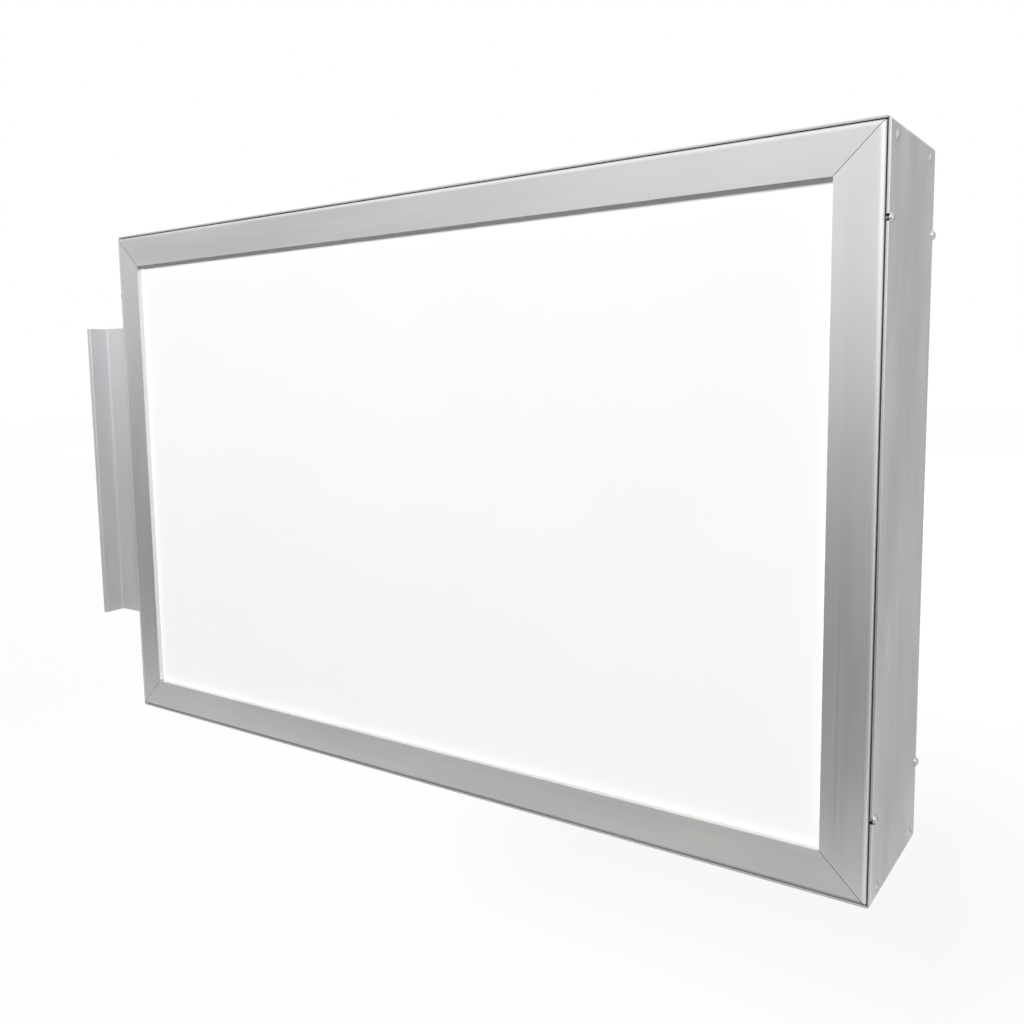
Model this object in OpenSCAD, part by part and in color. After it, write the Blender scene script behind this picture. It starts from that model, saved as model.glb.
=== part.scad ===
// Double-sided projecting LED light box on a wall bracket.
// Millimetres. The wall is the plane x = 0, +X runs away from the wall along the box,
// the front panel faces -Y and +Z is up. The origin is the centre of the bracket's wall face.

/* [Casing] */
// Width of the casing, measured away from the wall
casing_w = 600; // [400:10:1000]
// Height of the casing
casing_h = 400; // [360:10:700]
// Depth of the casing from front rim to rear rim
casing_d = 100; // [98:1:160]
// Thickness of the casing wall
casing_wall = 1.5; // [1.4:0.1:2.5]
// Thickness of the ledges and slot feet inside the casing
ledge_t = 1.5; // [1.2:0.1:2]
// Rounding of the casing rim edges
rim_r = 0.6; // [0.2:0.1:0.65]
// Rounding of the outside corners of the casing
corner_r = 3; // [1:0.25:3.5]
// Hairline left open at every mitre
mitre_gap = 0.3; // [0.1:0.05:0.4]
// Width of the slot that runs along the inside of every casing bar
slot_w = 20; // [18:0.5:22]
// Overhang of the slot lips
slot_lip = 1.5; // [1:0.25:2]
// Thickness of the slot lips
slot_lip_t = 1.2; // [1:0.1:2]
// Play of boards and nuts in the slot
slot_play = 0.2; // [0.1:0.05:0.3]

/* [Casing corners] */
// Leg length of a corner cleat
cleat_leg = 32; // [28:1:45]
// Thickness of a corner cleat
cleat_t = 3; // [2:0.5:3]
// Play of a cleat between ledge and slot
cleat_play = 0.5; // [0.3:0.1:1]
// Shank diameter of a corner rivet
rivet_d = 3.2; // [2.4:0.1:4]
// Head diameter of a corner rivet
rivet_head_d = 5.6; // [5:0.1:7]
// Head height of a corner rivet
rivet_head_h = 1.1; // [0.8:0.1:1.6]
// Distance from a corner to the rivets in the upright bars
rivet_end_upright = 8; // [8:0.5:9]
// Distance from a corner to the rivets in the level bars
rivet_end_level = 20; // [18:0.5:24]

/* [Retaining frames] */
// Shadow gap between the casing wall and a frame bar
frame_gap = 0.4; // [0.3:0.1:1.6]
// Width of a frame bar
frame_w = 24; // [22:0.5:32]
// Wall thickness of the frame section
frame_t = 1.6; // [1.3:0.1:1.8]
// Rounding of the outer front edge of a bar
frame_edge_r = 3; // [2.5:0.25:4.5]
// How far a frame face stands in front of the casing rim
frame_proud = 2; // [0.5:0.25:2.5]
// Depth of the panel behind the frame face
panel_recess = 4; // [3.5:0.25:6]
// Overlap of the frame lip on the panel edge
panel_overlap = 10; // [8:0.5:11]
// Room for the panel to grow in its groove
panel_room = 1.5; // [1:0.25:2]
// Thickness of a panel
panel_t = 3; // [2.5:0.25:4]
// Slack between a panel and the back of its groove
groove_slack = 0.2; // [0.1:0.05:0.4]
// How far the back flange of a bar stops short of the lip
back_short = 5; // [3:0.5:6]
// Leg length of a corner key, from its outer corner
key_leg = 34; // [28:1:36]
// Slack of a corner key in the hollow bars
key_slack = 0.1; // [0.05:0.05:0.2]
// Thickness of the weather seal under a frame
seal_t = 1.2; // [0.8:0.1:2]

/* [Frame screws] */
// Shank diameter of a frame screw
screw_d = 3; // [2.5:0.1:3.5]
// Shank length of a frame screw
screw_l = 8; // [6:0.5:10]
// Head diameter of a frame screw
screw_head_d = 5.6; // [5:0.1:6.4]
// Head height of a frame screw
screw_head_h = 2; // [1.4:0.1:2.4]
// Distance of a frame screw from the casing rim
screw_inset = 3; // [2.5:0.25:3.5]
// Distance of a frame screw from the end of its casing bar
screw_end = 48; // [46:1:80]
// Side play of a frame screw in its open notch
notch_play = 0.3; // [0.3:0.05:0.5]

/* [LED boards] */
// Thickness of an LED board
board_t = 1.6; // [1.2:0.1:2]
// Distance from the casing end to the end of an LED board
board_end = 36; // [36:1:60]
// Distance from one LED to the next
led_pitch = 48; // [24:1:80]
// Side of a square LED chip
chip_side = 3.5; // [3:0.1:4]
// Height of an LED chip
chip_h = 0.8; // [0.5:0.1:1.2]
// Diameter of the lens foot over an LED
lens_d = 13; // [11:0.5:14]
// Height of the lens foot
lens_foot_h = 1.5; // [1:0.1:2]
// Radius of the lens dome
lens_dome_r = 5.2; // [4.5:0.1:5.4]
// Room between an LED chip and the lens over it
chip_room = 0.4; // [0.3:0.05:0.6]

/* [Driver and terminals] */
// Length of the LED driver case
driver_l = 130; // [100:1:130]
// Width of the LED driver case
driver_w = 34; // [28:1:34]
// Height of the LED driver case
driver_t = 24; // [20:1:40]
// Rounding of the driver's long edges
driver_r = 3; // [1:0.5:5]
// Clear distance from the casing floor to the driver
driver_lift = 26; // [24:1:36]
// Length of a driver fixing ear
ear_l = 12; // [11:0.5:14]
// Thickness of a driver fixing ear
ear_t = 2; // [1.5:0.25:3]
// Shank diameter of the driver and terminal screws
fix_d = 4; // [3:0.5:4.5]
// Head diameter of the driver screws
fix_head_d = 7; // [6:0.5:8]
// Head height of the driver screws
fix_head_h = 2.4; // [1.6:0.2:3]
// Length of a nut plate in the casing slot
slot_nut_l = 12; // [10:0.5:14]
// Distance between the poles of the terminal block
pole_pitch = 10; // [9:0.5:11]
// Length of the terminal block along the wires
block_l = 20; // [18:1:26]
// Height of the terminal block
block_t = 14; // [13:0.5:18]
// Height of the middle of the terminal block above the bracket's centre
block_z = 46; // [44:1:52]
// Diameter of a single insulated lead
lead_d = 2.4; // [1.8:0.1:2.6]
// Room around a lead in a terminal, in a crimp and along the casing
lead_room = 0.4; // [0.3:0.05:0.5]
// Radial play of the driver, terminal and clamp screws in their holes
fix_play = 0.2; // [0.1:0.05:0.3]

/* [Wall bracket] */
// Clear distance between the wall and the casing
reach = 65; // [55:1:120]
// Height of the bracket
bracket_h = 255; // [235:1:330]
// Width of the bracket flanges
flange_w = 80; // [78:1:84]
// Thickness of the bracket flanges
flange_t = 4; // [3:0.25:5]
// Outside width of the hollow web
duct_w = 44; // [42:1:45]
// Wall thickness of the hollow web
web_t = 3; // [2:0.25:3.5]
// Fillet between web and flange
web_fillet = 2.5; // [1:0.25:2.5]
// Rounding of the flange edges
flange_r = 1.2; // [0.4:0.1:1.2]
// Diameter of the holes for the wall fixings
wall_hole_d = 7; // [5.5:0.5:9]
// Upright distance between the wall fixings
wall_hole_pitch = 200; // [180:1:206]
// Sideways distance between the wall fixings, inside the hollow web
wall_hole_gap = 18; // [17:0.5:20]
// Diameter of the holes in the box flange that let the wall fixings through
access_d = 13; // [12:0.5:14]
// Diameter of the cable hole in the wall flange
wall_cable_d = 20; // [14:0.5:24]
// Depth of the caps that close the hollow web
cap_depth = 8; // [5:0.5:12]
// Thickness of the cap plate and skirt
cap_t = 2; // [1.5:0.25:3]
// Play of a cap in the hollow web
cap_play = 0.15; // [0.1:0.05:0.3]

/* [Bracket bolts] */
// Thread diameter of the bracket bolts
bolt_d = 6; // [5:0.5:6.5]
// Width across flats of bolt heads and nuts
bolt_flats = 10; // [9:0.5:10.5]
// Height of a bolt head
bolt_head_h = 4; // [3:0.25:5]
// Height of a nut
nut_h = 5; // [4:0.25:6]
// Length of thread beyond the nut
bolt_spare = 2; // [1:0.5:4]
// Radial play of the bolts in their holes
bolt_play = 0.3; // [0.2:0.05:0.5]
// Radial play of a nut on its bolt
nut_play = 0.05; // [0.02:0.01:0.1]
// Outside diameter of the washers
washer_d = 12; // [11.5:0.25:13]
// Thickness of the washers
washer_t = 1.6; // [1:0.1:2]
// Upright distance between the bracket bolts
bolt_pitch = 160; // [140:1:170]
// Width of the backing strips inside the casing
strip_w = 14; // [13:0.5:14.5]
// Thickness of the backing strips
strip_t = 3; // [2:0.25:3]
// Length of the backing strips
strip_l = 220; // [190:1:230]

/* [Cable grommet] */
// Bore of the grommet
grommet_bore = 8; // [6:0.5:10]
// Diameter of the grommet's hole
grommet_hole_d = 14; // [12:0.25:15]
// Diameter of the grommet's flanges
grommet_flange_d = 16.5; // [16:0.25:16.8]
// Thickness of the grommet's flanges
grommet_flange_t = 1.8; // [1.2:0.1:2.4]
// Play of the grommet in its hole
grommet_play = 0.1; // [0.05:0.05:0.2]

/* [Earth] */
// Diameter of the earth stud
stud_d = 4; // [3:0.5:4.5]
// Length of the earth stud
stud_l = 11; // [9:0.5:14]
// Diameter of the weld foot of the earth stud
stud_foot_d = 7; // [6:0.5:8]
// Height of the weld foot
stud_foot_h = 1; // [0.6:0.1:1.5]
// Thickness of the ring tag on the stud
tag_t = 0.8; // [0.6:0.1:1]
// Outside diameter of the ring tag
tag_d = 8; // [7:0.5:8.5]
// Width across flats of the earth nut
stud_flats = 7; // [6:0.5:7.5]
// Height of the earth nut
stud_nut_h = 3.2; // [2.4:0.2:4]
// Distance of the earth stud from the middle of the casing bar
stud_y = 17; // [16.5:0.25:17.5]
// Height of the earth stud above the bracket's centre
stud_z = 16; // [14:0.5:18]

/* [Hidden] */
$fn = 48;

// Overshoot of a cut past the face that it opens
over = 1;
sides = [0, 1];
ends = [-1, 1];

// Casing: a is the distance inward from the outside of a bar
rim_y = casing_d / 2;
half_h = casing_h / 2;
box_x0 = reach;
box_x1 = reach + casing_w;
mitre_cut = mitre_gap / sqrt(2);

// Retaining frame section
face_y = rim_y + frame_proud;
frame_a0 = casing_wall + frame_gap;
frame_a1 = frame_a0 + frame_w;
frame_d = panel_recess + panel_t + groove_slack + frame_t;
frame_back_y = face_y - frame_d;
panel_a = frame_a1 - panel_overlap;
rib_a = panel_a - panel_room;
chamber_a0 = frame_a0 + frame_t;
chamber_a1 = rib_a - frame_t;
chamber_r = frame_edge_r - frame_t;
panel_y = face_y - panel_recess;
screw_y = rim_y - screw_inset;
screw_hole_d = screw_d + 2 * key_slack;
notch_w = screw_d + 2 * notch_play;

// Casing section
ledge_y = frame_back_y - seal_t;
ledge_in_y = ledge_y - ledge_t;
ledge_a = rib_a;
slot_a0 = casing_wall + board_t + slot_play;
slot_a1 = slot_a0 + slot_lip_t;
slot_mouth = slot_w - 2 * slot_lip;
foot_y = slot_w / 2 + slot_play + ledge_t;

// Corner cleats and rivets
cleat_y0 = foot_y + cleat_play;
cleat_y1 = ledge_in_y - cleat_play;
cleat_in = casing_wall + cleat_t;
rivet_tail_d = 1.5 * rivet_d;
rivet_y = ledge_in_y - rivet_tail_d / 2 - cleat_play;
rivet_hole_d = rivet_d + 2 * key_slack;

// LED boards
board_l = casing_w - 2 * board_end;
board_w = slot_w;
led_n = floor((board_l - led_pitch) / led_pitch) + 1;
led_x0 = box_x0 + casing_w / 2 - (led_n - 1) * led_pitch / 2;
board_top_a = casing_wall + board_t;
lens_cavity_r = chip_side * sqrt(2) / 2 + chip_room;

// Driver, terminal block and what holds them in the slot of the left bar
driver_z0 = -half_h + driver_lift;
driver_z1 = driver_z0 + driver_l;
seat_x = box_x0 + slot_a1;
ear_mid = ear_l / 2;
fix_hole_d = fix_d + 2 * fix_play;
nut_plate_t = board_t;
nut_plate_x = box_x0 + slot_a0 - nut_plate_t;
pole_n = 3;
block_w = pole_n * pole_pitch;
block_hole_d = lead_d + 2 * lead_room;
block_floor = 3;
wire_up = block_floor + block_hole_d / 2;
clamp_d = 3;
clamp_hole_d = clamp_d + 2 * fix_play;
clamp_up = wire_up + block_hole_d / 2 + fix_play;
clamp_l = 4.5;
clamp_slot_w = clamp_d / 5;
clamp_slot_h = clamp_l / 5;
clamp_end = block_l / 4;
block_fix_d = 2.6;
block_head_d = 1.7 * block_fix_d;
block_head_h = 0.6 * block_fix_d;

// Bracket
wing_y = (duct_w + flange_w) / 4;
duct_in_y = duct_w / 2 - web_t;
box_flange_x = reach - flange_t;
bolt_hole_d = bolt_d + 2 * bolt_play;
washer_x = box_flange_x - washer_t;
strip_x = box_x0 + casing_wall;
nut_x = strip_x + strip_t;
bolt_end_x = nut_x + nut_h + bolt_spare;
bolt_z = bolt_pitch / 2;

// Routes of the inner leads, as points in x, y and z
bend = 6;
sway = 4;
lead_in = 6;
lead_mid_x = seat_x + driver_t / 2;
wire_x = seat_x + wire_up;
block_low_z = block_z - block_l / 2;
gutter_x = box_x0 + casing_wall + lead_d / 2 + lead_room;
gutter_y = (foot_y + wing_y - strip_w / 2) / 2;
driver_side_y = driver_w / 2 + lead_d / 2 + lead_room;
pad_x = box_x0 + board_end + 2 * sway;
pad_z = half_h - board_top_a;
cleat_z = half_h - cleat_leg;
tag_x = box_x0 + casing_wall + stud_foot_h;
crimp_r = lead_d / 2 + lead_room + tag_t;
crimp_l = bend;
tag_reach = stud_flats + crimp_l;
crimp_x = tag_x + crimp_r;
mains_routes = [for (y = [-pole_pitch, 0]) [
    [wire_x, y, block_low_z + lead_in],
    [wire_x, y, block_low_z - bend],
    [(wire_x + lead_mid_x) / 2, y - sway / 4, (block_low_z + driver_z1) / 2],
    [lead_mid_x, y - sway / 2, driver_z1 + bend],
    [lead_mid_x, y - sway / 2, driver_z1]
]];
dc_bottom_route = [
    [lead_mid_x, bend, driver_z0],
    [lead_mid_x, bend, driver_z0 - bend],
    [lead_mid_x + sway, bend, driver_z0 - 2 * bend],
    [(lead_mid_x + pad_x) / 2 + sway, sway, -pad_z + 2 * bend],
    [pad_x - sway, sway / 4, -pad_z + 1.5 * bend],
    [pad_x, 0, -pad_z + bend],
    [pad_x, 0, -pad_z]
];
dc_top_route = [
    [lead_mid_x, -bend, driver_z0],
    [lead_mid_x, -bend, driver_z0 - bend],
    [lead_mid_x, -2 * bend, driver_z0 - 2 * bend],
    [lead_mid_x, -driver_side_y, driver_z0 - bend],
    [lead_mid_x, -driver_side_y, driver_z0 + bend],
    [lead_mid_x - sway, -driver_side_y, driver_z0 + 4 * bend],
    [lead_mid_x - sway, -driver_side_y, driver_z1 - 4 * bend],
    [lead_mid_x - bend, -driver_side_y, driver_z1 - bend],
    [gutter_x + sway / 2, -gutter_y, driver_z1 + 3 * bend],
    [gutter_x, -gutter_y, driver_z1 + 5 * bend],
    [gutter_x, -gutter_y, cleat_z - 6 * bend],
    [gutter_x + sway, sway - gutter_y, cleat_z - 3 * bend],
    [gutter_x + 2 * sway, -2 * sway, cleat_z - bend],
    [gutter_x + 3 * sway, -sway, pad_z - 3 * bend],
    [(gutter_x + 3 * sway + pad_x) / 2, -sway / 2, pad_z - 1.5 * bend],
    [pad_x - sway, -sway / 4, pad_z - 1.5 * bend],
    [pad_x, 0, pad_z - bend],
    [pad_x, 0, pad_z]
];
earth_route = [
    [wire_x, pole_pitch, block_low_z + lead_in],
    [wire_x, pole_pitch, block_low_z - bend / 2],
    [(wire_x + crimp_x) / 2, (pole_pitch + stud_y) / 2, (block_low_z + stud_z + tag_reach) / 2],
    [crimp_x, stud_y, stud_z + tag_reach + 1],
    [crimp_x, stud_y, stud_z + tag_reach - crimp_l / 2]
];

// Colours
satin = [0.80, 0.81, 0.82];
satin_dark = [0.70, 0.71, 0.72];
zinc = [0.72, 0.73, 0.74];
opal = [0.97, 0.97, 0.96];
black_rubber = [0.08, 0.08, 0.08];
board_white = [0.93, 0.93, 0.90];
lens_clear = [0.86, 0.90, 0.93];
chip_yellow = [0.95, 0.82, 0.35];
driver_grey = [0.55, 0.57, 0.60];
brass_tone = [0.78, 0.66, 0.34];

// What a quarter round of radius r removes from a square corner at the origin
module corner_waste(r) {
    difference() {
        square(r);
        translate([r, r]) circle(r = r);
    }
}

// Outline of a bar of length l, mitred between the distances a0 and a1 from its outside
module mitre_outline(l, a0, a1, cut) {
    polygon([[a0, a0 + cut], [a1, a1 + cut], [a1, l - a1 - cut], [a0, l - a0 - cut]]);
}

// Raises an outline in a bar's x and z through the whole depth of the box
module through_depth() {
    depth = casing_d + 4 * frame_proud;
    translate([0, depth / 2, 0]) rotate([90, 0, 0]) linear_extrude(height = depth) children();
}

// Bar places: a bar's own x is inward, y is depth and z runs along it
module at_left() {
    translate([box_x0, 0, -half_h]) children();
}
module at_right() {
    translate([box_x1, 0, -half_h]) mirror([1, 0, 0]) children();
}
module at_bottom() {
    translate([box_x0, 0, -half_h]) mirror([1, 0, -1]) children();
}
module at_top() {
    translate([box_x0, 0, half_h]) mirror([0, 0, 1]) mirror([1, 0, -1]) children();
}
// The four corners, each with x and z running inward
module at_corners() {
    at_left() children();
    at_right() children();
    mirror([0, 0, 1]) {
        at_left() children();
        at_right() children();
    }
}
// Front pieces as drawn, rear pieces mirrored through the middle of the casing
module as_rear() {
    mirror([0, 1, 0]) children();
}
// A round hole or pin along x, starting at x
module along_x(x, y, z) {
    translate([x, y, z]) rotate([0, 90, 0]) children();
}

// Casing bar section: wall with rounded rims, two ledges and the middle slot
module casing_section() {
    difference() {
        translate([0, -rim_y]) square([casing_wall, casing_d]);
        for (m = sides) mirror([0, m]) {
            translate([0, -rim_y]) corner_waste(rim_r);
            translate([casing_wall, -rim_y]) mirror([1, 0]) corner_waste(rim_r);
        }
    }
    for (m = sides) mirror([0, m]) {
        translate([0, -ledge_y]) square([ledge_a, ledge_t]);
        translate([0, slot_w / 2 + slot_play]) square([slot_a1, ledge_t]);
        translate([slot_a0, slot_mouth / 2]) square([slot_lip_t, foot_y - slot_mouth / 2]);
    }
}

module casing_bar(l) {
    intersection() {
        linear_extrude(height = l) casing_section();
        through_depth() difference() {
            mitre_outline(l, 0, ledge_a + over, mitre_cut);
            corner_waste(corner_r);
            translate([0, l]) mirror([0, 1]) corner_waste(corner_r);
        }
    }
}

module rivet_holes(l, end_gap) {
    for (s = [end_gap, l - end_gap], e = ends)
        along_x(-over, e * rivet_y, s) cylinder(d = rivet_hole_d, h = casing_wall + 2 * over);
}

// Open notches in the rims that let a frame and its screws slide out
module screw_notches(l) {
    for (s = [screw_end, l - screw_end], m = sides) mirror([0, m, 0]) {
        along_x(-over, -screw_y, s) cylinder(d = notch_w, h = casing_wall + 2 * over);
        translate([-over, -rim_y - over, s - notch_w / 2])
            cube([casing_wall + 2 * over, screw_inset + over, notch_w]);
    }
}

module level_bar() {
    color(satin) difference() {
        casing_bar(casing_w);
        rivet_holes(casing_w, rivet_end_level);
    }
}

module upright_bar() {
    difference() {
        casing_bar(casing_h);
        rivet_holes(casing_h, rivet_end_upright);
        screw_notches(casing_h);
    }
}

module casing_top() {
    at_top() level_bar();
}

module casing_bottom() {
    at_bottom() level_bar();
}

module casing_right() {
    color(satin) at_right() upright_bar();
}

// The bar against the bracket also has the bolt holes and the cable hole
module casing_left() {
    color(satin) difference() {
        at_left() upright_bar();
        for (e = ends, f = ends)
            along_x(box_x0 - over, e * wing_y, f * bolt_z)
                cylinder(d = bolt_hole_d, h = casing_wall + 2 * over);
        along_x(box_x0 - over, 0, 0) cylinder(d = grommet_hole_d, h = casing_wall + 2 * over);
    }
}

// Corner cleat: bent plate between ledge and slot, drilled for one rivet in each leg
module corner_cleat() {
    leg = casing_wall + cleat_leg;
    difference() {
        translate([0, -cleat_y0, 0])
            rotate([90, 0, 0])
                linear_extrude(height = cleat_y1 - cleat_y0)
                    polygon([[casing_wall, casing_wall], [leg, casing_wall], [leg, cleat_in],
                             [cleat_in, cleat_in], [cleat_in, leg], [casing_wall, leg]]);
        along_x(0, -rivet_y, rivet_end_upright) cylinder(d = rivet_hole_d, h = cleat_in + over);
        translate([rivet_end_level, -rivet_y, 0]) cylinder(d = rivet_hole_d, h = cleat_in + over);
    }
}

module front_corner_cleats() {
    color(zinc) at_corners() corner_cleat();
}

module rear_corner_cleats() {
    color(zinc) as_rear() at_corners() corner_cleat();
}

// Blind rivet along z: domed head below zero, set tail inside the cleat
module rivet() {
    grip = casing_wall + cleat_t;
    dome_r = (pow(rivet_head_d / 2, 2) + pow(rivet_head_h, 2)) / (2 * rivet_head_h);
    rotate_extrude() {
        intersection() {
            translate([0, dome_r - rivet_head_h]) circle(r = dome_r);
            translate([0, -rivet_head_h]) square([rivet_head_d / 2, rivet_head_h]);
        }
        square([rivet_d / 2, grip]);
        translate([0, grip]) square([rivet_tail_d / 2, rivet_d / 2]);
    }
}

module corner_rivet_pair() {
    along_x(0, -rivet_y, rivet_end_upright) rivet();
    translate([rivet_end_level, -rivet_y, 0]) rivet();
}

module corner_rivets() {
    color(zinc) {
        at_corners() corner_rivet_pair();
        as_rear() at_corners() corner_rivet_pair();
    }
}

// Flat weather seal on the casing ledge
module seal() {
    inner_w = casing_w - 2 * ledge_a;
    inner_h = casing_h - 2 * ledge_a;
    difference() {
        translate([box_x0 + frame_a0, -frame_back_y, -half_h + frame_a0])
            cube([casing_w - 2 * frame_a0, seal_t, casing_h - 2 * frame_a0]);
        translate([box_x0 + ledge_a, -frame_back_y - over, -half_h + ledge_a])
            cube([inner_w, seal_t + 2 * over, inner_h]);
    }
}

module front_seal() {
    color(black_rubber) seal();
}

module rear_seal() {
    color(black_rubber) as_rear() seal();
}

// Retaining frame section: rounded face, hollow chamber for the corner keys, panel groove
module frame_section() {
    difference() {
        translate([frame_a0, -face_y]) union() {
            square([frame_t, frame_d]);
            square([frame_w, frame_t]);
            translate([frame_w - frame_t, 0]) square([frame_t, panel_recess]);
            translate([chamber_a1 - frame_a0, 0]) square([frame_t, frame_d]);
            translate([0, frame_d - frame_t]) square([frame_w - back_short, frame_t]);
        }
        translate([frame_a0, -face_y]) corner_waste(frame_edge_r);
    }
    translate([chamber_a0, frame_t - face_y]) corner_waste(chamber_r);
}

module frame_bar(l) {
    intersection() {
        linear_extrude(height = l) frame_section();
        through_depth() mitre_outline(l, frame_a0, frame_a1, mitre_cut);
    }
}

// Upright frame bar, drilled for the side screws
module frame_upright() {
    difference() {
        frame_bar(casing_h);
        for (s = [screw_end, casing_h - screw_end])
            along_x(frame_a0 - over, -screw_y, s) cylinder(d = screw_hole_d, h = frame_t + 2 * over);
    }
}

module front_frame_top() {
    color(satin) at_top() frame_bar(casing_w);
}

module front_frame_bottom() {
    color(satin) at_bottom() frame_bar(casing_w);
}

module front_frame_left() {
    color(satin) at_left() frame_upright();
}

module front_frame_right() {
    color(satin) at_right() frame_upright();
}

module rear_frame_top() {
    color(satin) as_rear() at_top() frame_bar(casing_w);
}

module rear_frame_bottom() {
    color(satin) as_rear() at_bottom() frame_bar(casing_w);
}

module rear_frame_left() {
    color(satin) as_rear() at_left() frame_upright();
}

module rear_frame_right() {
    color(satin) as_rear() at_right() frame_upright();
}

// Corner key: two arms that fill the hollow of both bars at a corner
module key_section() {
    y0 = frame_t + key_slack - face_y;
    difference() {
        translate([chamber_a0 + key_slack, y0])
            square([chamber_a1 - chamber_a0 - 2 * key_slack, frame_d - 2 * frame_t - 2 * key_slack]);
        translate([chamber_a0 + key_slack, y0]) corner_waste(chamber_r);
    }
}

module key_arm() {
    k0 = chamber_a0 + key_slack;
    k1 = chamber_a1 - key_slack;
    intersection() {
        linear_extrude(height = k0 + key_leg) key_section();
        through_depth() polygon([[k0, k0], [k1, k1], [k1, k0 + key_leg], [k0, k0 + key_leg]]);
    }
}

module corner_key() {
    key_arm();
    mirror([1, 0, -1]) key_arm();
}

module front_corner_keys() {
    color(zinc) at_corners() corner_key();
}

module rear_corner_keys() {
    color(zinc) as_rear() at_corners() corner_key();
}

// Opal panel held in the groove of its frame
module panel() {
    translate([box_x0 + panel_a, -panel_y, -half_h + panel_a])
        cube([casing_w - 2 * panel_a, panel_t, casing_h - 2 * panel_a]);
}

module front_panel() {
    color(opal) panel();
}

module rear_panel() {
    color(opal) as_rear() panel();
}

// Round-headed screw along z: head below zero, plain shank above
module round_screw(d, l, head_d, head_h) {
    dome_r = (pow(head_d / 2, 2) + pow(head_h, 2)) / (2 * head_h);
    rotate_extrude() {
        intersection() {
            translate([0, dome_r - head_h]) circle(r = dome_r);
            translate([0, -head_h]) square([head_d / 2, head_h]);
        }
        square([d / 2, l]);
    }
}

module upright_screws() {
    for (s = [screw_end, casing_h - screw_end])
        along_x(0, -screw_y, s) round_screw(screw_d, screw_l, screw_head_d, screw_head_h);
}

module frame_screws() {
    at_left() upright_screws();
    at_right() upright_screws();
}

module front_frame_screws() {
    color(zinc) frame_screws();
}

module rear_frame_screws() {
    color(zinc) as_rear() frame_screws();
}

// LED boards lie in the slots of the level bars
module led_board() {
    translate([casing_wall, -board_w / 2, board_end]) cube([board_t, board_w, board_l]);
}

module led_board_top() {
    color(board_white) at_top() led_board();
}

module led_board_bottom() {
    color(board_white) at_bottom() led_board();
}

// Places one child over every LED, with z pointing off the board at the casing floor
module at_leds() {
    for (i = [0 : led_n - 1])
        translate([led_x0 + i * led_pitch, 0, board_top_a - half_h]) children();
}

module led_chip() {
    translate([-chip_side / 2, -chip_side / 2, 0]) cube([chip_side, chip_side, chip_h]);
}

module led_chips_bottom() {
    color(chip_yellow) at_leds() led_chip();
}

module led_chips_top() {
    color(chip_yellow) mirror([0, 0, 1]) at_leds() led_chip();
}

// Wide-angle lens: round foot, dome and a hollow that clears the chip
module led_lens() {
    difference() {
        union() {
            cylinder(d = lens_d, h = lens_foot_h);
            intersection() {
                sphere(r = lens_dome_r);
                cylinder(r = lens_d, h = lens_dome_r + over);
            }
        }
        translate([0, 0, -over]) cylinder(r = lens_cavity_r, h = chip_h + chip_room + over);
    }
}

module led_lenses_bottom() {
    color(lens_clear) at_leds() led_lens();
}

module led_lenses_top() {
    color(lens_clear) mirror([0, 0, 1]) at_leds() led_lens();
}

// LED driver: extruded case with cooling grooves and a fixing ear at each end
module driver_section() {
    groove_n = 5;
    groove_w = driver_w / (3 * groove_n + 2);
    groove_h = driver_r / 2;
    difference() {
        translate([0, -driver_w / 2]) square([driver_t, driver_w]);
        for (m = sides) mirror([0, m])
            translate([driver_t, -driver_w / 2]) mirror([1, 0]) corner_waste(driver_r);
        for (i = [0 : groove_n - 1])
            translate([driver_t - groove_h, (2 * i - groove_n + 0.5) * groove_w])
                square([groove_h + over, groove_w]);
    }
}

module driver_ear() {
    difference() {
        translate([0, -driver_w / 4, 0]) cube([ear_t, driver_w / 2, ear_l]);
        along_x(-over, 0, ear_mid) cylinder(d = fix_hole_d, h = ear_t + 2 * over);
    }
}

module led_driver() {
    color(driver_grey) translate([seat_x, 0, driver_z0]) {
        linear_extrude(height = driver_l) driver_section();
        translate([0, 0, driver_l]) driver_ear();
        mirror([0, 0, 1]) driver_ear();
    }
}

module driver_screws() {
    shank = ear_t + seat_x - nut_plate_x;
    color(zinc) for (z = [driver_z0 - ear_mid, driver_z1 + ear_mid])
        translate([seat_x + ear_t, 0, z])
            rotate([0, -90, 0]) round_screw(fix_d, shank, fix_head_d, fix_head_h);
}

// Nut plates that slide in the casing slot, for the driver and the terminal block
module slot_nut(z, hole_d, hole_ys) {
    difference() {
        translate([nut_plate_x, -slot_w / 2, z - slot_nut_l / 2]) cube([nut_plate_t, slot_w, slot_nut_l]);
        for (y = hole_ys)
            along_x(nut_plate_x - over, y, z)
                cylinder(d = hole_d + 2 * nut_play, h = nut_plate_t + 2 * over);
    }
}

module slot_nuts() {
    color(zinc) {
        slot_nut(driver_z0 - ear_mid, fix_d, [0]);
        slot_nut(driver_z1 + ear_mid, fix_d, [0]);
        slot_nut(block_z, block_fix_d, ends * pole_pitch / 2);
    }
}

// Terminal block: one wire way with two clamp screws for each pole, fixing holes between poles
module terminal_block() {
    color(board_white) difference() {
        translate([seat_x, -block_w / 2, block_low_z]) cube([block_t, block_w, block_l]);
        for (p = [0 : pole_n - 1]) {
            y = (p - (pole_n - 1) / 2) * pole_pitch;
            translate([wire_x, y, block_low_z - over]) cylinder(d = block_hole_d, h = block_l + 2 * over);
            for (e = ends)
                along_x(seat_x + clamp_up, y, block_z + e * clamp_end)
                    cylinder(d = clamp_hole_d, h = block_t);
        }
        for (e = ends)
            along_x(seat_x - over, e * pole_pitch / 2, block_z)
                cylinder(d = block_fix_d + 2 * fix_play, h = block_t + 2 * over);
    }
}

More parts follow.
